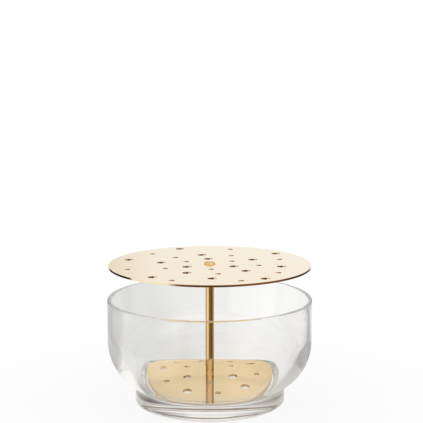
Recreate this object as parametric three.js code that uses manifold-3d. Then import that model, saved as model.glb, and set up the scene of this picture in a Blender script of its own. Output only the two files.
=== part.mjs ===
// Flower-arranging vase: a clear glass bowl with a loose two-plate brass insert.
// Millimetres, +Z up, origin at the centre of the surface that the bowl stands on.

import * as THREE from 'three';
import { mergeVertices } from 'three/addons/utils/BufferGeometryUtils.js';
import Module from 'manifold-3d';

const wasm = await Module();
wasm.setup();

// Glass bowl
const bowlRadius = 122.5;
const rimHeight = 126.3;
const rimWall = 4.6;
const shoulderRadius = 62;
const footRadius = 90;
const footHeight = 20.3;
const footEdgeRound = 2.4;
const footCornerRound = 2.5;
const floorHeight = 12.5;
const cornerGlass = 6.1;

// Brass plates and the stem holes in them
const upperPlateRadius = 120.6;
const lowerBorder = 20;
const plateThickness = 2.5;
const largeHoleRadius = 5.5;
const smallHoleRadius = 3.5;

// Rings of holes in both plates, and loose holes round the upper one: share of its radius, heading in degrees
const holeRings = [
  { share: 0.2653, count: 6, heading: -147 },
  { share: 0.4892, count: 10, heading: -44.4 },
];
const looseHoles = [
  { share: 0.876, heading: -53.6 }, { share: 0.786, heading: -33.3 }, { share: 0.716, heading: -10.5 },
  { share: 0.746, heading: 18.9 }, { share: 0.884, heading: 39.2 }, { share: 0.83, heading: 75 },
  { share: 0.885, heading: 111 }, { share: 0.8, heading: 138 }, { share: 0.845, heading: 165 },
  { share: 0.842, heading: 199 }, { share: 0.835, heading: 230 }, { share: 0.862, heading: 246 },
  { share: 0.7, heading: 272 }, { share: 0.85, heading: 290 },
];

// Rod between the plates, with a short spigot at each end that centres the plate
const rodRadius = 5;
const rodLength = 140.2;
const spigotRadius = 3.9;
const spigotSink = 0.3;

// Screws that clamp the plates to the rod
const shankRadius = 2.5;
const shankLength = 12;
const headRadius = 6.5;
const headHeight = 3;
const headEdge = 1.2;
const socketWidth = 4;
const socketDepth = 1.8;

// Soft pad that the insert stands on
const padRadius = 18;
const padEdge = 1;
const padWeb = 3;

// Clearances
const seatGap = 0.3;
const boreGap = 0.15;
const tipGap = 1.5;

// Steps round a full turn for the large, the slim and the bored pieces
const wideSteps = 64;
const slimSteps = 32;
const holeSteps = 18;

const glass = new THREE.MeshStandardMaterial({
  color: 0xe8eeee, roughness: 0.04, metalness: 0, transparent: true, opacity: 0.35,
});
const polishedBrass = new THREE.MeshStandardMaterial({ color: 0xd9ab68, roughness: 0.14, metalness: 1 });
const drawnBrass = new THREE.MeshStandardMaterial({ color: 0xc8934a, roughness: 0.2, metalness: 1 });
const clearSilicone = new THREE.MeshStandardMaterial({
  color: 0xdfe3e2, roughness: 0.45, metalness: 0, transparent: true, opacity: 0.5,
});

function point(r, z) {
  return new THREE.Vector2(r, z);
}

// Points of an arc about (r, z), its first point left out; angles run from the outward radius
function arc(r, z, radius, from, to, steps) {
  const points = [];
  for (let i = 1; i <= steps; i += 1) {
    const angle = from + ((to - from) * i) / steps;
    points.push(point(r + radius * Math.cos(angle), z + radius * Math.sin(angle)));
  }
  return points;
}

// Solid of revolution about Z; the profile runs anticlockwise, from the axis back to the axis
function turned(profile, steps) {
  const geometry = new THREE.LatheGeometry(profile, steps);
  geometry.rotateX(Math.PI / 2);
  return geometry;
}

// Manifold solid of a closed geometry
function solid(geometry) {
  const bare = geometry.clone();
  bare.deleteAttribute('normal');
  bare.deleteAttribute('uv');
  const merged = mergeVertices(bare);
  const mesh = new wasm.Mesh({
    numProp: 3,
    vertProperties: new Float32Array(merged.attributes.position.array),
    triVerts: new Uint32Array(merged.index.array),
  });
  return new wasm.Manifold(mesh);
}

// Geometry of one closed solid with another cut out of it
function cut(geometry, cutter) {
  const mesh = solid(geometry).subtract(solid(cutter)).getMesh();
  const result = new THREE.BufferGeometry();
  result.setAttribute('position', new THREE.BufferAttribute(mesh.vertProperties, 3));
  result.setIndex(new THREE.BufferAttribute(mesh.triVerts, 1));
  result.computeVertexNormals();
  return result;
}

// Outer curve of the bowl: the shoulder arc meets the foot at footHeight, softened by a hollow corner
const shoulderR = bowlRadius - shoulderRadius;
const shoulderZ = footHeight + Math.sqrt(shoulderRadius ** 2 - (footRadius - shoulderR) ** 2);
const cornerR = footRadius + footCornerRound;
const cornerReach = shoulderRadius + footCornerRound;
const cornerZ = shoulderZ - Math.sqrt(cornerReach ** 2 - (cornerR - shoulderR) ** 2);
const cornerAngle = Math.atan2(cornerZ - shoulderZ, cornerR - shoulderR);

// Inner curve of the bowl: it runs from the wall into the floor and leaves cornerGlass at the foot's corner
const innerRadius = bowlRadius - rimWall;
const cornerIn = footRadius - innerRadius;
const cornerUp = footHeight - floorHeight;
const curveSum = cornerUp + cornerGlass - cornerIn;
const curveRadius = curveSum + Math.sqrt(curveSum ** 2 - cornerIn ** 2 - cornerUp ** 2 + cornerGlass ** 2);
const curveR = innerRadius - curveRadius;
const curveZ = floorHeight + curveRadius;

function bowlProfile() {
  const lip = rimWall / 2;
  return [
    point(0, 0),
    point(footRadius - footEdgeRound, 0),
    ...arc(footRadius - footEdgeRound, footEdgeRound, footEdgeRound, -Math.PI / 2, 0, 3),
    point(footRadius, cornerZ),
    ...arc(cornerR, cornerZ, footCornerRound, Math.PI, Math.PI + cornerAngle, 3),
    ...arc(shoulderR, shoulderZ, shoulderRadius, cornerAngle, 0, 12),
    point(bowlRadius, rimHeight - lip),
    ...arc(bowlRadius - lip, rimHeight - lip, lip, 0, Math.PI, 6),
    point(innerRadius, curveZ),
    ...arc(curveR, curveZ, curveRadius, 0, -Math.PI / 2, 14),
    point(0, floorHeight),
  ];
}

// Height of the inner curve at a radius
function curveHeight(radius) {
  const reach = Math.min(Math.max(radius - curveR, 0), curveRadius);
  return curveZ - Math.sqrt(curveRadius ** 2 - reach ** 2);
}

// The lower plate ends outside the last ring of holes
const lastRing = Math.max(...holeRings.map((ring) => ring.share));
const lowerPlateRadius = lastRing * upperPlateRadius + lowerBorder;

// The lower plate settles on the inner curve, or on the pad where the plate is small
const seatOnCurve = curveHeight(lowerPlateRadius + seatGap) + seatGap;
const seatOnPad = floorHeight + seatGap + padWeb + seatGap + headHeight;
const lowerPlateBottom = Math.max(seatOnCurve, seatOnPad);
const lowerPlateTop = lowerPlateBottom + plateThickness;
const upperPlateBottom = lowerPlateTop + rodLength;
const upperPlateTop = upperPlateBottom + plateThickness;

// Stem holes are large and small in turn, along each ring and along the loose ones
function stemHole({ share, heading }, i) {
  const reach = share * upperPlateRadius;
  const angle = THREE.MathUtils.degToRad(heading);
  const radius = i % 2 === 0 ? largeHoleRadius : smallHoleRadius;
  return { x: reach * Math.cos(angle), y: reach * Math.sin(angle), radius };
}

const ringHoles = holeRings.flatMap(({ share, count, heading }) => (
  Array.from({ length: count }, (_, i) => stemHole({ share, heading: heading + (360 * i) / count }, i))
));
const allHoles = [...ringHoles, ...looseHoles.map(stemHole)];

function circle(x, y, radius, steps) {
  const points = [];
  for (let i = 0; i < steps; i += 1) {
    const angle = (2 * Math.PI * i) / steps;
    points.push(point(x + radius * Math.cos(angle), y + radius * Math.sin(angle)));
  }
  return points;
}

function plate(plateRadius, holes, bottom) {
  const outline = new THREE.Shape(circle(0, 0, plateRadius, wideSteps));
  outline.holes.push(new THREE.Path(circle(0, 0, spigotRadius + boreGap, slimSteps)));
  for (const hole of holes) {
    outline.holes.push(new THREE.Path(circle(hole.x, hole.y, hole.radius, holeSteps)));
  }
  const geometry = new THREE.ExtrudeGeometry(outline, { depth: plateThickness, bevelEnabled: false });
  geometry.translate(0, 0, bottom);
  return geometry;
}

// Rod: shoulders bear on the plates, and each spigot stops short of the plate's outer face
function rod() {
  const bore = shankRadius + boreGap;
  const boreDepth = shankLength - spigotSink + tipGap;
  const low = lowerPlateBottom + spigotSink;
  const high = upperPlateTop - spigotSink;
  return turned([
    point(0, low + boreDepth),
    point(bore, low + boreDepth),
    point(bore, low),
    point(spigotRadius, low),
    point(spigotRadius, lowerPlateTop),
    point(rodRadius, lowerPlateTop),
    point(rodRadius, upperPlateBottom),
    point(spigotRadius, upperPlateBottom),
    point(spigotRadius, high),
    point(bore, high),
    point(bore, high - boreDepth),
    point(0, high - boreDepth),
  ], slimSteps);
}

// Low domed screw with its bearing face at a height; way is 1 for head up and -1 for head down
function screw(face, way) {
  const crown = headHeight - headEdge;
  const domeRadius = (headRadius ** 2 + crown ** 2) / (2 * crown);
  const domeAngle = Math.asin(headRadius / domeRadius);
  const profile = [
    point(0, -shankLength),
    point(shankRadius, -shankLength),
    point(shankRadius, 0),
    point(headRadius, 0),
    point(headRadius, headEdge),
    ...arc(0, headHeight - domeRadius, domeRadius, Math.PI / 2 - domeAngle, Math.PI / 2, 5),
  ];
  profile[profile.length - 1].x = 0;
  const placed = profile.map((p) => point(p.x, face + way * p.y));
  const socket = new THREE.Shape(circle(0, 0, socketWidth / Math.sqrt(3), 6));
  const key = new THREE.ExtrudeGeometry(socket, { depth: socketDepth + headHeight, bevelEnabled: false });
  const keyLow = way > 0 ? headHeight - socketDepth : -2 * headHeight;
  key.translate(0, 0, face + keyLow);
  return cut(turned(way > 0 ? placed : placed.reverse(), slimSteps), key);
}

// Pad: a round button with a cup for the head of the lower screw
function pad() {
  const bottom = floorHeight + seatGap;
  const cup = headRadius + seatGap;
  const cupFloor = lowerPlateBottom - headHeight - seatGap;
  return turned([
    point(0, bottom),
    point(padRadius - padEdge, bottom),
    ...arc(padRadius - padEdge, bottom + padEdge, padEdge, -Math.PI / 2, 0, 3),
    point(padRadius, lowerPlateBottom - padEdge),
    ...arc(padRadius - padEdge, lowerPlateBottom - padEdge, padEdge, 0, Math.PI / 2, 3),
    point(cup, lowerPlateBottom),
    point(cup, cupFloor),
    point(0, cupFloor),
  ], slimSteps);
}

function piece(name, geometry, material) {
  const mesh = new THREE.Mesh(geometry, material);
  mesh.name = name;
  return mesh;
}

const insert = new THREE.Group();
insert.add(piece('lower_plate', plate(lowerPlateRadius, ringHoles, lowerPlateBottom), polishedBrass));
insert.add(piece('upper_plate', plate(upperPlateRadius, allHoles, upperPlateBottom), polishedBrass));
insert.add(piece('stem_rod', rod(), drawnBrass));
insert.add(piece('lower_screw', screw(lowerPlateBottom, -1), drawnBrass));
insert.add(piece('upper_screw', screw(upperPlateTop, 1), drawnBrass));

const vase = new THREE.Group();
vase.add(piece('glass_bowl', turned(bowlProfile(), wideSteps), glass));
vase.add(piece('foot_pad', pad(), clearSilicone));
vase.add(insert);

export default vase;
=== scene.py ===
import math

import bpy
import numpy as np
from mathutils.geometry import delaunay_2d_cdt
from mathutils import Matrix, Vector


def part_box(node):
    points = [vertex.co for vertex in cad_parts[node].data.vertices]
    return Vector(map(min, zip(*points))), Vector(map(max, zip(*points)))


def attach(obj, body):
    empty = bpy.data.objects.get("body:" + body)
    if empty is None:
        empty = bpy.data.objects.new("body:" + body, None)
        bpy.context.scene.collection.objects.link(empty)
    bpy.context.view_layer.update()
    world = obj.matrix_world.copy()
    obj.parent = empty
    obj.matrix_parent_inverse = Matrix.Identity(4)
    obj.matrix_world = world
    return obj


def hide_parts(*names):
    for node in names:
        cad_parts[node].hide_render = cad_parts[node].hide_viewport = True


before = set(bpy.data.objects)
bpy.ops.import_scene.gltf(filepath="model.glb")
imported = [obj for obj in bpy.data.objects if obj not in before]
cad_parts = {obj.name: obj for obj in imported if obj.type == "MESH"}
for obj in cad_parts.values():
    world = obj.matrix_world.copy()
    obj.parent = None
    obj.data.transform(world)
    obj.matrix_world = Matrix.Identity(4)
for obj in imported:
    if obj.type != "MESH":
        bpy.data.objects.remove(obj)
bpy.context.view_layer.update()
scene = bpy.context.scene
toMetres, toMillimetres = 0.001, 1000
quarter, half, full = np.pi / 2, np.pi, 2 * np.pi
print("frame loaded with", len(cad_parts), "solids")


# lowest and highest point of a solid, in millimetres
def heightsOf(node):
    low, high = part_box(node)
    return low.z * toMillimetres, high.z * toMillimetres


# profiles are (radius, height) rows in millimetres, joined from runs; each run takes its count of rows last
# straight run: even steps from one point to the next, the first point left out
def straight(start, end, count):
    share = np.linspace(0, 1, count + 1)[1:, None]
    return np.array(start) + (np.array(end) - np.array(start)) * share


# round run: centre plus radius times the cosine and sine of evenly spread angles, the first point left out
def rounded(centre, radius, fromAngle, toAngle, count):
    angle = np.linspace(fromAngle, toAngle, count + 1)[1:]
    return np.array(centre) + radius * np.stack([np.cos(angle), np.sin(angle)], 1)


def linkPiece(name, vertices, faces, smooth):
    mesh = bpy.data.meshes.new(name)
    mesh.from_pydata(vertices * toMetres, [], faces)
    mesh.polygons.foreach_set("use_smooth", smooth)
    mesh.update()
    piece = bpy.data.objects.new(name, mesh)
    scene.collection.objects.link(piece)
    return piece


# four corners of every cell of a grid of rows by steps that closes round its steps
def gridQuads(rows, steps):
    row = np.arange(rows - 1)[:, None] * steps
    step = np.arange(steps)[None, :]
    after = (step + 1) % steps
    return np.stack([row + step, row + after, row + steps + after, row + steps + step], -1).reshape(-1, 4)


# turned piece: radius and height are grids over (profile, angle), and a point is
# (radius cos angle, radius sin angle, height); the first and last rows close on one point of the axis each
def turnedPiece(name, radius, height):
    rows, steps = radius.shape
    angle = np.linspace(0, full, steps, endpoint=False)
    ring = np.stack([radius * np.cos(angle), radius * np.sin(angle), height], -1).reshape(-1, 3)
    ends = np.array([[0, 0, height[0].mean()], [0, 0, height[-1].mean()]])
    step = np.arange(steps)
    after = (step + 1) % steps
    lastRow = (rows - 1) * steps
    first = np.stack([np.full(steps, rows * steps), after, step], 1)
    last = np.stack([np.full(steps, rows * steps + 1), lastRow + step, lastRow + after], 1)
    faces = gridQuads(rows, steps).tolist() + first.tolist() + last.tolist()
    return linkPiece(name, np.vstack([ring, ends]), faces, np.ones(len(faces), bool))


# grids of radius and height for a profile that is the same at every angle
def evenTurn(profile, steps):
    spread = np.ones((1, steps))
    return profile[:, :1] * spread, profile[:, 1:] * spread


# camera at the photograph's place: level frame, looking a little down
cameraSet = {"place": (0.0021, -1.3745, 0.4374), "tiltDeg": 81.41, "lensMm": 99.67, "sensorMm": 36}
cameraData = bpy.data.cameras.new("camera")
cameraData.sensor_width = cameraSet["sensorMm"]
cameraData.lens = cameraSet["lensMm"]
camera = bpy.data.objects.new("camera", cameraData)
camera.location = cameraSet["place"]
camera.rotation_euler = (math.radians(cameraSet["tiltDeg"]), 0, 0)
scene.collection.objects.link(camera)
scene.camera = camera
print("camera set")


# new node, with constants set on its own sockets
def newNode(nodes, kind, constants=()):
    node = nodes.new("ShaderNode" + kind)
    for socket, value in dict(constants).items():
        node.inputs[socket].default_value = value
    return node


def mathNode(nodes, operation, constants=()):
    node = newNode(nodes, "Math", constants)
    node.operation = operation
    return node


def colourMix(nodes):
    mix = nodes.new("ShaderNodeMix")
    mix.data_type = "RGBA"
    return mix


# maps one range of values onto another
def rangeNode(nodes, source, target=(0.0, 1.0)):
    return newNode(nodes, "MapRange", zip(("From Min", "From Max", "To Min", "To Max"), (*source, *target)))


def newMaterial(name):
    material = bpy.data.materials.new(name)
    material.use_nodes = True
    nodes = material.node_tree.nodes
    return material, nodes, material.node_tree.links, nodes["Principled BSDF"]


# clear glass: faint blown waves, and a grey tint that grows with the length of the way inside
glassSet = {
    "colour": (1.0, 1.0, 0.995), "ior": 1.5, "tint": (0.6, 0.595, 0.58), "density": 0.65,
    "waveScale": 22.0, "waveDetail": 1.0, "waveStrength": 0.02, "waveDepth": 0.001,
}


def clearGlass(g):
    material, nodes, links, shader = newMaterial("clearGlass")
    shader.inputs["Base Color"].default_value = (*g["colour"], 1)
    shader.inputs["Roughness"].default_value = 0.0
    shader.inputs["IOR"].default_value = g["ior"]
    shader.inputs["Transmission Weight"].default_value = 1.0
    coords = newNode(nodes, "TexCoord")
    waves = newNode(nodes, "TexNoise", {"Scale": g["waveScale"], "Detail": g["waveDetail"]})
    bump = newNode(nodes, "Bump", {"Strength": g["waveStrength"], "Distance": g["waveDepth"]})
    absorb = newNode(nodes, "VolumeAbsorption", {"Color": (*g["tint"], 1), "Density": g["density"]})
    links.new(coords.outputs["Object"], waves.inputs["Vector"])
    links.new(waves.outputs["Fac"], bump.inputs["Height"])
    links.new(bump.outputs["Normal"], shader.inputs["Normal"])
    links.new(absorb.outputs["Volume"], nodes["Material Output"].inputs["Volume"])
    return material


# polished brass: slow drift of tone, cloudy polish, and fine polishing lines
brassSet = {
    "driftScale": 14.0, "driftDetail": 4.0, "cloudScale": 60.0, "cloudDetail": 5.0, "cloudRange": (0.3, 0.7),
    "lineDetail": 3.0, "lineStrength": 0.03, "lineDepth": 0.0002,
}
# upper plate's brass is paler than the lower plate's and the rod's: painted light, standing in for the bright
# white its top mirrors
upperLitBrass = {
    "light": (0.93, 0.81, 0.61), "deep": (0.9, 0.77, 0.55), "edge": (1.0, 1.0, 1.0),
    "gloss": (0.05, 0.1), "lineScale": (40, 900, 40),
}
lowerBrass = {
    "light": (0.9, 0.7, 0.4), "deep": (0.85, 0.63, 0.33), "edge": (1.0, 1.0, 1.0),
    "gloss": (0.06, 0.12), "lineScale": (40, 900, 40),
}
rodBrass = {
    "light": (0.9, 0.7, 0.41), "deep": (0.84, 0.62, 0.33), "edge": (0.5, 0.35, 0.15),
    "gloss": (0.08, 0.15), "lineScale": (1500, 1500, 30),
}


def polishedBrass(name, b, own):
    material, nodes, links, shader = newMaterial(name)
    shader.inputs["Metallic"].default_value = 1.0
    shader.inputs["Specular Tint"].default_value = (*own["edge"], 1)
    coords = newNode(nodes, "TexCoord")
    drift = newNode(nodes, "TexNoise", {"Scale": b["driftScale"], "Detail": b["driftDetail"]})
    tone = colourMix(nodes)
    tone.inputs["A"].default_value = (*own["light"], 1)
    tone.inputs["B"].default_value = (*own["deep"], 1)
    links.new(coords.outputs["Object"], drift.inputs["Vector"])
    links.new(drift.outputs["Fac"], tone.inputs["Factor"])
    links.new(tone.outputs["Result"], shader.inputs["Base Color"])
    cloud = newNode(nodes, "TexNoise", {"Scale": b["cloudScale"], "Detail": b["cloudDetail"]})
    polish = rangeNode(nodes, b["cloudRange"], own["gloss"])
    links.new(coords.outputs["Object"], cloud.inputs["Vector"])
    links.new(cloud.outputs["Fac"], polish.inputs["Value"])
    links.new(polish.outputs["Result"], shader.inputs["Roughness"])
    stretch = newNode(nodes, "Mapping", {"Scale": own["lineScale"]})
    lines = newNode(nodes, "TexNoise", {"Scale": 1.0, "Detail": b["lineDetail"]})
    bump = newNode(nodes, "Bump", {"Strength": b["lineStrength"], "Distance": b["lineDepth"]})
    links.new(coords.outputs["Object"], stretch.inputs["Vector"])
    links.new(stretch.outputs["Vector"], lines.inputs["Vector"])
    links.new(lines.outputs["Fac"], bump.inputs["Height"])
    links.new(bump.outputs["Normal"], shader.inputs["Normal"])
    return material


# clear silicone with a satin grain
siliconeSet = {
    "colour": (0.93, 0.95, 0.95), "ior": 1.41, "clear": 0.85, "grainScale": 900.0, "satin": (0.25, 0.45),
}


def clearSilicone(s):
    material, nodes, links, shader = newMaterial("clearSilicone")
    shader.inputs["Base Color"].default_value = (*s["colour"], 1)
    shader.inputs["IOR"].default_value = s["ior"]
    shader.inputs["Transmission Weight"].default_value = s["clear"]
    coords = newNode(nodes, "TexCoord")
    grain = newNode(nodes, "TexNoise", {"Scale": s["grainScale"]})
    satin = rangeNode(nodes, (0.0, 1.0), s["satin"])
    links.new(coords.outputs["Object"], grain.inputs["Vector"])
    links.new(grain.outputs["Fac"], satin.inputs["Value"])
    links.new(satin.outputs["Result"], shader.inputs["Roughness"])
    return material


glassFinish = clearGlass(glassSet)
upperLitFinish = polishedBrass("polishedBrass", brassSet, upperLitBrass)
lowerFinish = polishedBrass("deepBrass", brassSet, lowerBrass)
rodFinish = polishedBrass("drawnBrass", brassSet, rodBrass)
padFinish = clearSilicone(siliconeSet)
print("materials made")

# glass bowl, in millimetres: outside arc into the foot, thick floor, inside curve into the wall
bowlSet = {
    "radius": 122.5, "rim": 126.3, "wall": 4.6, "shoulder": 62.0, "foot": 90.0, "footHeight": 20.3,
    "edgeRound": 2.4, "cornerRound": 2.5, "floor": 12.5, "cornerGlass": 6.1, "lastRing": 1.5, "steps": 600,
}


# bowl profile: base, foot, hollow corner, shoulder arc, wall, round rim, then the inside curve back to the
# axis, which touches wall and floor and leaves the corner's thickness of glass at the top of the foot
def bowlProfile(b):
    lip = b["wall"] / 2
    shoulderR = b["radius"] - b["shoulder"]
    shoulderZ = b["footHeight"] + math.sqrt(b["shoulder"] ** 2 - (b["foot"] - shoulderR) ** 2)
    cornerR = b["foot"] + b["cornerRound"]
    cornerZ = shoulderZ - math.sqrt((b["shoulder"] + b["cornerRound"]) ** 2 - (cornerR - shoulderR) ** 2)
    cornerAngle = math.atan2(cornerZ - shoulderZ, cornerR - shoulderR)
    inner = b["radius"] - b["wall"]
    inward, upward = b["foot"] - inner, b["footHeight"] - b["floor"]
    total = upward + b["cornerGlass"] - inward
    curve = total + math.sqrt(total ** 2 - inward ** 2 - upward ** 2 + b["cornerGlass"] ** 2)
    edge = b["foot"] - b["edgeRound"]
    return np.vstack([
        straight((0, 0), (edge, 0), 6),
        rounded((edge, b["edgeRound"]), b["edgeRound"], -quarter, 0, 10),
        straight((b["foot"], b["edgeRound"]), (b["foot"], cornerZ), 4),
        rounded((cornerR, cornerZ), b["cornerRound"], half, half + cornerAngle, 8),
        rounded((shoulderR, shoulderZ), b["shoulder"], cornerAngle, 0, 44),
        straight((b["radius"], shoulderZ), (b["radius"], b["rim"] - lip), 5),
        rounded((b["radius"] - lip, b["rim"] - lip), lip, 0, half, 24),
        straight((inner, b["rim"] - lip), (inner, b["floor"] + curve), 4),
        rounded((inner - curve, b["floor"] + curve), curve, 0, -quarter, 50),
        straight((inner - curve, b["floor"]), (b["lastRing"], b["floor"]), 4),
    ])


bowlRadius, bowlHeight = evenTurn(bowlProfile(bowlSet), bowlSet["steps"])
bowlPiece = turnedPiece("bowl_glass", bowlRadius, bowlHeight)
bowlPiece.data.materials.append(glassFinish)
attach(bowlPiece, "bowl")
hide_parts("glass_bowl")
print("glass bowl made")

# plates, in millimetres; the bore is the centre hole that the rod's spigot fills
plateSet = {
    "upper": 120.6, "lower": 79.0, "bore": 4.05, "ease": 0.08, "easeRows": 5, "hold": 0.08,
    "rimSteps": 256, "holeSteps": 48, "tolerance": 1e-6,
}
# stem holes: two rings in both plates and loose ones round the upper plate, large and small in turn; places
# are shares of the upper plate's radius and headings in degrees; a ring is its share, count and first heading
holeSet = {
    "large": 5.5, "small": 3.5, "rings": ((0.2653, 6, -147.0), (0.4892, 10, -44.4)),
    "loose": (
        (0.876, -53.6), (0.786, -33.3), (0.716, -10.5), (0.746, 18.9), (0.884, 39.2),
        (0.83, 75.0), (0.885, 111.0), (0.8, 138.0), (0.845, 165.0), (0.842, 199.0),
        (0.835, 230.0), (0.862, 246.0), (0.7, 272.0), (0.85, 290.0),
    ),
}


# row of holes: centre at share of the radius times the cosine and sine of the heading, and the hole's radius
def holeRow(share, heading):
    reach, angle = np.asarray(share) * plateSet["upper"], np.radians(heading)
    size = np.where(np.arange(len(angle)) % 2 == 0, holeSet["large"], holeSet["small"])
    return np.stack([reach * np.cos(angle), reach * np.sin(angle), size], 1)


ringHoles = np.vstack([
    holeRow(np.full(count, share), first + 360 * np.arange(count) / count)
    for share, count, first in holeSet["rings"]
])
looseHoles = holeRow(*np.array(holeSet["loose"]).T)


# pierced plate: each edge is one profile (quarter round, wall held straight, quarter round) carried round
# its circle, outwards at the rim and inwards at a hole; flat faces fill between the circles
def piercedPlate(name, outline, holes, bottom, top, p):
    ease, easeRows, hold = p["ease"], p["easeRows"], p["hold"]
    rimSteps, holeSteps = p["rimSteps"], p["holeSteps"]
    edge = np.vstack([
        [[-ease, top]],
        rounded((-ease, top - ease), ease, quarter, 0, easeRows),
        straight((0, top - ease), (0, top - ease - hold), 1),
        straight((0, top - ease - hold), (0, bottom + ease + hold), 1),
        [[0, bottom + ease]],
        rounded((-ease, bottom + ease), ease, 0, -quarter, easeRows),
    ])
    rows = len(edge)

    def circles(centreX, centreY, radius, side, steps):
        angle = np.linspace(0, full, steps, endpoint=False)
        reach = radius[:, None] + side * edge[None, :, 0]
        x = centreX[:, None, None] + reach[:, :, None] * np.cos(angle)
        y = centreY[:, None, None] + reach[:, :, None] * np.sin(angle)
        z = np.broadcast_to(edge[None, :, 1, None], x.shape)
        return np.stack([x, y, z], -1)

    rim = circles(np.zeros(1), np.zeros(1), np.array([outline]), 1, rimSteps)
    bored = circles(holes[:, 0], holes[:, 1], holes[:, 2], -1, holeSteps)
    rimCount, holeCount = rows * rimSteps, rows * holeSteps
    rimQuads = gridQuads(rows, rimSteps)[:, ::-1]
    shift = rimCount + np.arange(len(holes))[:, None, None] * holeCount
    holeQuads = (gridQuads(rows, holeSteps)[None] + shift).reshape(-1, 4)
    rimStart, holeStart = np.arange(rimSteps), shift[:, 0, 0][:, None] + np.arange(holeSteps)
    rimEnd, holeEnd = rimStart + rimCount - rimSteps, holeStart + holeCount - holeSteps
    upper = np.concatenate([rimStart, holeStart.ravel()])
    lower = np.concatenate([rimEnd, holeEnd.ravel()])
    vertices = np.vstack([rim.reshape(-1, 3), bored.reshape(-1, 3)])
    # triangles between the circles' top points, less those with all their points on one hole
    ringStart = np.concatenate([[0], rimSteps + np.arange(len(holes)) * holeSteps])
    ringSize = np.concatenate([[rimSteps], np.full(len(holes), holeSteps)])
    owner = np.repeat(np.arange(len(ringSize)), ringSize)
    index = np.arange(len(upper))
    following = ringStart[owner] + (index - ringStart[owner] + 1) % ringSize[owner]
    points, lines = vertices[upper][:, :2].tolist(), np.stack([index, following], 1).tolist()
    fill = np.array(delaunay_2d_cdt(points, lines, [], 0, p["tolerance"])[2])
    fill = fill[(owner[fill[:, :1]] != owner[fill]).any(1) | (owner[fill] == 0).all(1)]
    faces = rimQuads.tolist() + holeQuads.tolist() + upper[fill].tolist() + lower[fill[:, ::-1]].tolist()
    smooth = np.arange(len(faces)) < len(rimQuads) + len(holeQuads)
    return linkPiece(name, vertices, faces, smooth)


centreBore = np.array([[0.0, 0.0, plateSet["bore"]]])
lowerHoles = np.vstack([centreBore, ringHoles])
upperHoles = np.vstack([lowerHoles, looseHoles])
for name, node, outline, holes, finish in (
    ("upper_disc", "upper_plate", plateSet["upper"], upperHoles, upperLitFinish),
    ("lower_disc", "lower_plate", plateSet["lower"], lowerHoles, lowerFinish),
):
    bottom, top = heightsOf(node)
    disc = piercedPlate(name, outline, holes, bottom, top, plateSet)
    disc.data.materials.append(finish)
    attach(disc, "insert")
    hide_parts(node)
print("plates made")

# rod, in millimetres: tapped blind hole and spigot at each end, shoulders eased where they meet the plates
rodSet = {
    "radius": 5.0, "spigot": 3.9, "bore": 2.65, "boreDepth": 13.2, "ease": 0.25,
    "lastRing": 0.3, "steps": 64,
}


# rod profile: the lower blind hole, round the lower spigot, along the rod, and the same in turn at the top
def rodProfile(r, bottom, lower, upper, top):
    ease, wide, slim, bore = r["ease"], r["radius"], r["spigot"], r["bore"]
    lowFloor, highFloor = bottom + r["boreDepth"], top - r["boreDepth"]
    return np.vstack([
        straight((0, lowFloor), (bore, lowFloor), 4),
        straight((bore, lowFloor), (bore, bottom), 6),
        straight((bore, bottom), (slim - ease, bottom), 2),
        rounded((slim - ease, bottom + ease), ease, -quarter, 0, 3),
        straight((slim, bottom + ease), (slim, lower), 2),
        straight((slim, lower), (wide - ease, lower), 3),
        rounded((wide - ease, lower + ease), ease, -quarter, 0, 5),
        straight((wide, lower + ease), (wide, upper - ease), 40),
        rounded((wide - ease, upper - ease), ease, 0, quarter, 5),
        straight((wide - ease, upper), (slim, upper), 3),
        straight((slim, upper), (slim, top - ease), 2),
        rounded((slim - ease, top - ease), ease, 0, quarter, 3),
        straight((slim - ease, top), (bore, top), 2),
        straight((bore, top), (bore, highFloor), 6),
        straight((bore, highFloor), (r["lastRing"], highFloor), 4),
    ])


rodBottom, rodTop = heightsOf("stem_rod")
lowerTop = heightsOf("lower_plate")[1]
upperBottom = heightsOf("upper_plate")[0]
rodRows = rodProfile(rodSet, rodBottom, lowerTop, upperBottom, rodTop)
rodRadius, rodHeight = evenTurn(rodRows, rodSet["steps"])
rodPiece = turnedPiece("plate_rod", rodRadius, rodHeight)
rodPiece.data.materials.append(rodFinish)
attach(rodPiece, "insert")
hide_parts("stem_rod")
print("rod made")

# screws, in millimetres: low domed head with a hexagon socket, plain shank
screwSet = {
    "head": 6.5, "crown": 3.0, "edge": 1.2, "ease": 0.3, "under": 0.25, "shank": 2.5, "length": 12.0,
    "lead": 0.4, "key": 4.0, "keyDepth": 1.8, "floorShares": (0.3, 0.95), "floorEase": 0.08,
    "mouthEase": 0.15, "mouthDrop": 0.12, "browDeg": 60.0, "domeRows": 12, "lastRing": 0.3, "steps": 96,
}


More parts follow.
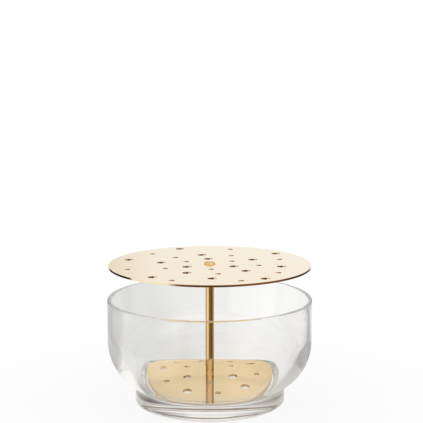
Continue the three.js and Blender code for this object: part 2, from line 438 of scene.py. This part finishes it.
# screw: rows run from the socket's floor up its six-sided wall, over the dome (height falls with the square
# of the radius) to the head's edge, then under the head and down the shank; each row's radius is a mix of
# hexagon and circle
def screwGrid(s, face, way):
    angle = np.linspace(0, full, s["steps"], endpoint=False)
    side = full / 6
    hexagon = s["key"] / 2 / np.cos(np.mod(angle, side) - side / 2)
    domeFall = (s["crown"] - s["edge"]) / s["head"] ** 2
    floor = s["crown"] - s["keyDepth"]
    spread = np.linspace(0, 1, s["domeRows"])[:, None]
    over = (hexagon + s["mouthEase"]) * (1 - spread) + (s["head"] - s["ease"]) * spread
    overHeight = s["crown"] - domeFall * over ** 2
    head, under, shank, lead, tip = s["head"], s["under"], s["shank"], s["lead"], -s["length"]
    rest = np.vstack([
        rounded((head - s["ease"], s["edge"]), s["ease"], math.radians(s["browDeg"]), 0, 4),
        straight((head, s["edge"]), (head, under), 3),
        rounded((head - under, under), under, 0, -quarter, 4),
        straight((head - under, 0), (shank, 0), 3),
        straight((shank, 0), (shank, lead + tip), 10),
        straight((shank, lead + tip), (shank - lead, tip), 2),
        straight((shank - lead, tip), (s["lastRing"], tip), 3),
    ])
    even = np.ones((1, s["steps"]))
    inner, outer = s["floorShares"]
    radius = np.vstack([inner * hexagon, outer * hexagon, hexagon, hexagon, over, rest[:, :1] * even])
    mouth = s["crown"] - domeFall * hexagon ** 2 - s["mouthDrop"]
    socket = [floor * even, floor * even, (floor + s["floorEase"]) * even, mouth[None, :]]
    height = np.vstack([*socket, overHeight, rest[:, 1:] * even])
    return radius, face + way * height


for name, node, way in (("upper_domed_screw", "upper_screw", 1), ("lower_domed_screw", "lower_screw", -1)):
    face = heightsOf("upper_plate")[1] if way > 0 else heightsOf("lower_plate")[0]
    radius, height = screwGrid(screwSet, face, way)
    if way > 0:
        radius, height = radius[::-1], height[::-1]
    screw = turnedPiece(name, radius, height)
    screw.data.materials.append(rodFinish)
    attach(screw, "insert")
    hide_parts(node)
print("screws made")

# soft pad, in millimetres: round button with a cup for the lower screw's head, a gap below the head
padSet = {"radius": 18.0, "edge": 1.6, "cup": 6.8, "cupGap": 0.3, "lip": 0.5, "lastRing": 0.5, "steps": 96}


# pad profile: underside, rounded edge, side, rounded edge, top, then over the lip down the cup to its floor
def padProfile(p, bottom, top, cupFloor):
    wide, edge, cup, lip = p["radius"], p["edge"], p["cup"], p["lip"]
    return np.vstack([
        straight((0, bottom), (wide - edge, bottom), 12),
        rounded((wide - edge, bottom + edge), edge, -quarter, 0, 8),
        straight((wide, bottom + edge), (wide, top - edge), 4),
        rounded((wide - edge, top - edge), edge, 0, quarter, 8),
        straight((wide - edge, top), (cup + lip, top), 8),
        rounded((cup + lip, top - lip), lip, quarter, half, 5),
        straight((cup, top - lip), (cup, cupFloor), 5),
        straight((cup, cupFloor), (p["lastRing"], cupFloor), 6),
    ])


padBottom, padTop = heightsOf("foot_pad")
cupFloor = heightsOf("lower_screw")[0] - padSet["cupGap"]
padRadius, padHeight = evenTurn(padProfile(padSet, padBottom, padTop, cupFloor), padSet["steps"])
padPiece = turnedPiece("soft_pad", padRadius, padHeight)
padPiece.data.materials.append(padFinish)
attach(padPiece, "pad")
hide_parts("foot_pad")
print("pad made")

# studio: white all round where it is seen straight on; mirrored looks find a surround of tones instead, and
# looks through glass find the floor's white graded. Tones go by heading, as a share of a turn from the rear
# by the right, the front and the left to the rear, and are one number for grey or three for a colour
studioSet = {
    # light that falls on the object, rise of a look from the far to the high tones, depths of looks
    "light": 0.85, "riseRange": (-0.1, 0.05), "once": 0.5, "guidedAfter": 5.5, "bounces": 320,
    # looks mirrored many times inside glass, whatever they find
    "guidedTones": (
        (0.0, (0.74, 0.74, 0.735)), (0.04, (0.74, 0.74, 0.735)), (0.08, (0.66, 0.66, 0.655)),
        (0.28, (0.66, 0.66, 0.655)), (0.33, (0.74, 0.74, 0.735)), (0.7, (0.74, 0.74, 0.735)),
        (0.75, (0.44, 0.44, 0.435)), (0.93, (0.44, 0.44, 0.435)), (0.97, (0.74, 0.74, 0.735)),
        (1.0, (0.74, 0.74, 0.735)),
    ),
    # mirrored looks at the floor, away from the foot
    "nearTones": (
        (0.0, (0.85, 0.84, 0.83)), (0.05, (0.95, 0.95, 0.94)), (0.09, (0.85, 0.84, 0.83)),
        (0.12, (0.48, 0.47, 0.46)), (0.15, (0.42, 0.41, 0.4)), (0.18, (0.62, 0.61, 0.6)),
        (0.2, (0.62, 0.61, 0.6)), (0.25, (0.25, 0.17, 0.08)), (0.29, (0.1, 0.06, 0.015)),
        (0.36, (0.14, 0.08, 0.015)), (0.5, (0.21, 0.13, 0.03)), (0.565, (0.28, 0.19, 0.06)),
        (0.595, (1.0, 0.98, 0.95)), (0.77, (1.0, 0.98, 0.95)), (0.79, (0.28, 0.26, 0.23)),
        (0.83, (0.4, 0.39, 0.38)), (0.87, (0.55, 0.54, 0.53)), (0.94, (0.62, 0.61, 0.6)),
        (1.0, (0.85, 0.84, 0.83)),
    ),
    # mirrored looks at the floor, near the foot: tones by heading with a painted contact shade, darkest
    # behind the foot
    "footRange": (0.145, 0.175),
    "footToneAndShade": (
        (0.0, (0.3, 0.25, 0.2)), (0.08, (0.3, 0.25, 0.2)), (0.15, (0.6, 0.59, 0.57)),
        (0.32, (0.6, 0.59, 0.57)), (0.36, (0.55, 0.54, 0.52)), (0.6, (0.4, 0.39, 0.38)),
        (0.69, (0.4, 0.39, 0.38)), (0.715, (0.97, 0.95, 0.92)), (0.79, (0.97, 0.95, 0.92)),
        (0.85, (0.85, 0.83, 0.8)), (0.92, (0.55, 0.52, 0.48)), (1.0, (0.3, 0.25, 0.2)),
    ),
    # mirrored looks past the floor's edge, level or downward
    "farTones": (
        (0.0, 1.0), (0.03, 0.95), (0.06, (0.03, 0.012, 0.005)), (0.2, (0.03, 0.012, 0.005)),
        (0.26, (0.2, 0.08, 0.01)), (0.4, (0.2, 0.08, 0.01)), (0.46, (0.1, 0.045, 0.005)),
        (0.54, (0.1, 0.045, 0.005)), (0.6, (0.2, 0.08, 0.01)), (0.635, (1.0, 0.98, 0.95)),
        (0.765, (1.0, 0.98, 0.95)), (0.78, (0.01, 0.005, 0.002)), (0.94, (0.01, 0.005, 0.002)),
        (0.97, 0.95), (1.0, 1.0),
    ),
    # mirrored looks upward that passed no glass
    "highTones": (
        (0.0, (0.98, 0.975, 0.97)), (0.03, 1.0), (0.85, 1.0), (0.95, (0.84, 0.81, 0.78)),
        (0.9855, (0.85, 0.8, 0.73)), (0.9875, (0.87, 0.83, 0.77)), (0.9889, (0.93, 0.9, 0.86)),
        (0.99, (0.96, 0.955, 0.95)), (1.0, (0.98, 0.975, 0.97)),
    ),
    # mirrored looks upward that passed glass, and their sides at some steepness
    "innerTones": (
        (0.0, (0.98, 0.975, 0.97)), (0.03, 1.0), (0.085, 1.0), (0.11, (0.5, 0.49, 0.48)),
        (0.3, (0.5, 0.49, 0.48)), (0.35, 1.0), (0.65, 1.0), (0.7, (0.55, 0.54, 0.53)),
        (0.89, (0.55, 0.54, 0.53)), (0.915, 0.95), (1.0, (0.98, 0.975, 0.97)),
    ),
    "sideTones": (
        (0.0, 1.0), (0.025, 1.0), (0.07, (0.5, 0.49, 0.47)), (0.11, (0.2, 0.19, 0.18)),
        (0.31, (0.2, 0.19, 0.18)), (0.37, 1.0), (0.58, 1.0), (0.64, (0.4, 0.38, 0.36)),
        (0.86, (0.4, 0.38, 0.36)), (0.92, (0.62, 0.6, 0.57)), (0.975, 1.0), (1.0, 1.0),
    ),
    # share of the sides, and thin bands, by the steepness of the look
    "sideReach": ((0.0, 0.0), (0.25, 0.0), (0.29, 1.0), (0.345, 1.0), (0.39, 0.0)),
    "bandTones": (
        (0.0, 1.0), (0.302, 1.0), (0.306, (0.42, 0.36, 0.3)), (0.314, (0.42, 0.36, 0.3)), (0.315, 1.0),
        (0.3172, 1.0), (0.318, 0.4), (0.3188, 0.85), (0.335, 0.8), (0.345, 1.0),
    ),
    # looks through glass at the floor, away from the bowl and near it
    "throughRange": (0.2, 0.3),
    "throughTones": (
        (0.0, 0.91), (0.015, 0.92), (0.04, 1.0), (0.1, 1.0), (0.12, 0.6), (0.25, 0.6), (0.3, 1.0),
        (0.8, 1.0), (0.86, (0.72, 0.72, 0.71)), (0.95, (0.755, 0.755, 0.75)), (0.967, (0.8, 0.8, 0.795)),
        (0.983, 0.89), (1.0, 0.91),
    ),
    "underTones": (
        (0.0, 0.91), (0.015, 0.92), (0.04, 1.0), (0.7, 1.0), (0.78, (0.72, 0.72, 0.71)),
        (0.95, (0.72, 0.72, 0.71)), (0.967, (0.78, 0.78, 0.775)), (0.983, 0.87), (1.0, 0.91),
    ),
}


# colour ramp with the given places and tones
def toneRamp(nodes, toneList):
    ramp = newNode(nodes, "ValToRGB")
    for place, tone in toneList[1:-1]:
        ramp.color_ramp.elements.new(place)
    for element, (place, tone) in zip(ramp.color_ramp.elements, toneList):
        element.position = place
        element.color = (*np.broadcast_to(tone, 3), 1)
    return ramp


# tone by the heading of a direction or place: its angle about Z as a share of a turn, looked up in the tones
def surroundTone(nodes, links, vector, toneList):
    parts = newNode(nodes, "SeparateXYZ")
    left, front = (mathNode(nodes, "MULTIPLY", {1: -1.0}) for axis in "XY")
    turned = mathNode(nodes, "ARCTAN2")
    share = rangeNode(nodes, (-math.pi, math.pi))
    tones = toneRamp(nodes, toneList)
    links.new(vector, parts.inputs[0])
    links.new(parts.outputs["X"], left.inputs[0])
    links.new(parts.outputs["Y"], front.inputs[0])
    links.new(left.outputs["Value"], turned.inputs[0])
    links.new(front.outputs["Value"], turned.inputs[1])
    links.new(turned.outputs["Value"], share.inputs["Value"])
    links.new(share.outputs["Result"], tones.inputs["Fac"])
    return tones.outputs["Color"]


# one where the look was mirrored (Glossy), or passed through glass (Transmission), more often than the count
def depthOver(nodes, links, path, kind, count):
    over = mathNode(nodes, "GREATER_THAN", {1: count})
    links.new(path.outputs[kind + " Depth"], over.inputs[0])
    return over.outputs["Value"]


# tone of a mirrored look upward: by heading, and past glass with grey sides and thin bands by steepness
def upwardTone(nodes, links, path, heading, steepness):
    sides, bands, inside = colourMix(nodes), colourMix(nodes), colourMix(nodes)
    bands.blend_type = "MULTIPLY"
    bands.inputs["Factor"].default_value = 1.0
    reach = toneRamp(nodes, studioSet["sideReach"])
    thin = toneRamp(nodes, studioSet["bandTones"])
    links.new(steepness, reach.inputs["Fac"])
    links.new(steepness, thin.inputs["Fac"])
    links.new(reach.outputs["Color"], sides.inputs["Factor"])
    links.new(surroundTone(nodes, links, heading, studioSet["innerTones"]), sides.inputs["A"])
    links.new(surroundTone(nodes, links, heading, studioSet["sideTones"]), sides.inputs["B"])
    links.new(sides.outputs["Result"], bands.inputs["A"])
    links.new(thin.outputs["Color"], bands.inputs["B"])
    links.new(depthOver(nodes, links, path, "Transmission", studioSet["once"]), inside.inputs["Factor"])
    links.new(surroundTone(nodes, links, heading, studioSet["highTones"]), inside.inputs["A"])
    links.new(bands.outputs["Result"], inside.inputs["B"])
    return inside.outputs["Result"]


# floor's white: plain straight on, and by heading through glass, with other tones near the bowl
def gradedWhite(nodes, links, path, place, reach):
    graded, seen = colourMix(nodes), colourMix(nodes)
    seen.inputs["A"].default_value = (1, 1, 1, 1)
    beyond = rangeNode(nodes, studioSet["throughRange"])
    links.new(reach, beyond.inputs["Value"])
    links.new(beyond.outputs["Result"], graded.inputs["Factor"])
    links.new(surroundTone(nodes, links, place, studioSet["underTones"]), graded.inputs["A"])
    links.new(surroundTone(nodes, links, place, studioSet["throughTones"]), graded.inputs["B"])
    links.new(depthOver(nodes, links, path, "Transmission", studioSet["once"]), seen.inputs["Factor"])
    links.new(graded.outputs["Result"], seen.inputs["B"])
    return seen.outputs["Result"]


# floor as mirrored looks find it: tones by heading, others near the foot with a painted contact shade, the
# guided ones after many mirrors
def mirroredFloor(nodes, links, path, place, reach):
    zones, guided = colourMix(nodes), colourMix(nodes)
    outer = rangeNode(nodes, studioSet["footRange"])
    links.new(reach, outer.inputs["Value"])
    links.new(outer.outputs["Result"], zones.inputs["Factor"])
    links.new(surroundTone(nodes, links, place, studioSet["footToneAndShade"]), zones.inputs["A"])
    links.new(surroundTone(nodes, links, place, studioSet["nearTones"]), zones.inputs["B"])
    links.new(depthOver(nodes, links, path, "Glossy", studioSet["guidedAfter"]), guided.inputs["Factor"])
    links.new(zones.outputs["Result"], guided.inputs["A"])
    links.new(surroundTone(nodes, links, place, studioSet["guidedTones"]), guided.inputs["B"])
    return guided.outputs["Result"]


# pale floor: matt with a share of plain white, all white away from the object; the disc is in millimetres
# and the fade in metres
floorSet = {
    "radius": 750, "top": -0.01, "bottom": -2, "lastRing": 1, "steps": 96,
    "colour": (0.93, 0.93, 0.93), "whiteShare": 0.9, "fadeRange": (0.16, 0.42),
}


def paleFloor(f):
    material, nodes, links, shader = newMaterial("paleFloor")
    nodes.remove(shader)
    matt = newNode(nodes, "BsdfDiffuse", {"Color": (*f["colour"], 1)})
    white, tone = newNode(nodes, "Emission"), newNode(nodes, "Emission")
    coords = newNode(nodes, "TexCoord")
    path = newNode(nodes, "LightPath")
    reach = newNode(nodes, "VectorMath")
    reach.operation = "LENGTH"
    fade = rangeNode(nodes, f["fadeRange"], (f["whiteShare"], 1.0))
    fade.interpolation_type = "SMOOTHSTEP"
    lit = mathNode(nodes, "SUBTRACT", {0: 1.0})
    share = mathNode(nodes, "MULTIPLY")
    plain, mix = newNode(nodes, "MixShader"), newNode(nodes, "MixShader")
    place, distance = coords.outputs["Object"], reach.outputs["Value"]
    links.new(place, reach.inputs[0])
    links.new(distance, fade.inputs["Value"])
    links.new(path.outputs["Is Diffuse Ray"], lit.inputs[1])
    links.new(fade.outputs["Result"], share.inputs[0])
    links.new(lit.outputs["Value"], share.inputs[1])
    links.new(gradedWhite(nodes, links, path, place, distance), white.inputs["Color"])
    links.new(share.outputs["Value"], plain.inputs["Fac"])
    links.new(matt.outputs["BSDF"], plain.inputs[1])
    links.new(white.outputs["Emission"], plain.inputs[2])
    links.new(mirroredFloor(nodes, links, path, place, distance), tone.inputs["Color"])
    links.new(depthOver(nodes, links, path, "Glossy", studioSet["once"]), mix.inputs["Fac"])
    links.new(plain.outputs["Shader"], mix.inputs[1])
    links.new(tone.outputs["Emission"], mix.inputs[2])
    links.new(mix.outputs["Shader"], nodes["Material Output"].inputs["Surface"])
    material.cycles.emission_sampling = "NONE"
    return material


# floor profile: underside, edge, then the top back to the axis
def floorProfile(f):
    return np.vstack([
        straight((0, f["bottom"]), (f["radius"], f["bottom"]), 10),
        straight((f["radius"], f["bottom"]), (f["radius"], f["top"]), 2),
        straight((f["radius"], f["top"]), (f["lastRing"], f["top"]), 10),
    ])


floorRadius, floorHeight = evenTurn(floorProfile(floorSet), floorSet["steps"])
floor = turnedPiece("floor", floorRadius, floorHeight)
floor.data.materials.append(paleFloor(floorSet))

# world: white where it is seen straight on or through glass, softer where it lights, tones where mirrored
world = bpy.data.worlds.new("studio")
scene.world = world
world.use_nodes = True
nodes, links = world.node_tree.nodes, world.node_tree.links
nodes.clear()
path = newNode(nodes, "LightPath")
look = newNode(nodes, "TexCoord")
rise = newNode(nodes, "SeparateXYZ")
white = newNode(nodes, "Background", {"Color": (1, 1, 1, 1)})
soft = newNode(nodes, "Background", {"Color": (1, 1, 1, 1), "Strength": studioSet["light"]})
below, above, guided = (newNode(nodes, "Background") for tone in range(3))
plain, around, mirrored, choose = (newNode(nodes, "MixShader") for mix in range(4))
high = rangeNode(nodes, studioSet["riseRange"])
high.interpolation_type = "SMOOTHSTEP"
worldOut = newNode(nodes, "OutputWorld")
heading = look.outputs["Generated"]
links.new(heading, rise.inputs[0])
links.new(path.outputs["Is Diffuse Ray"], plain.inputs["Fac"])
links.new(white.outputs["Background"], plain.inputs[1])
links.new(soft.outputs["Background"], plain.inputs[2])
links.new(surroundTone(nodes, links, heading, studioSet["farTones"]), below.inputs["Color"])
links.new(upwardTone(nodes, links, path, heading, rise.outputs["Z"]), above.inputs["Color"])
links.new(rise.outputs["Z"], high.inputs["Value"])
links.new(high.outputs["Result"], around.inputs["Fac"])
links.new(below.outputs["Background"], around.inputs[1])
links.new(above.outputs["Background"], around.inputs[2])
links.new(surroundTone(nodes, links, heading, studioSet["guidedTones"]), guided.inputs["Color"])
links.new(depthOver(nodes, links, path, "Glossy", studioSet["guidedAfter"]), mirrored.inputs["Fac"])
links.new(around.outputs["Shader"], mirrored.inputs[1])
links.new(guided.outputs["Background"], mirrored.inputs[2])
links.new(depthOver(nodes, links, path, "Glossy", studioSet["once"]), choose.inputs["Fac"])
links.new(plain.outputs["Shader"], choose.inputs[1])
links.new(mirrored.outputs["Shader"], choose.inputs[2])
links.new(choose.outputs["Shader"], worldOut.inputs["Surface"])
scene.view_settings.view_transform = "Standard"
# clear glass needs looks that are passed on and mirrored many times
scene.cycles.max_bounces = studioSet["bounces"]
scene.cycles.glossy_bounces = studioSet["bounces"]
scene.cycles.transmission_bounces = studioSet["bounces"]
print("floor and world made")
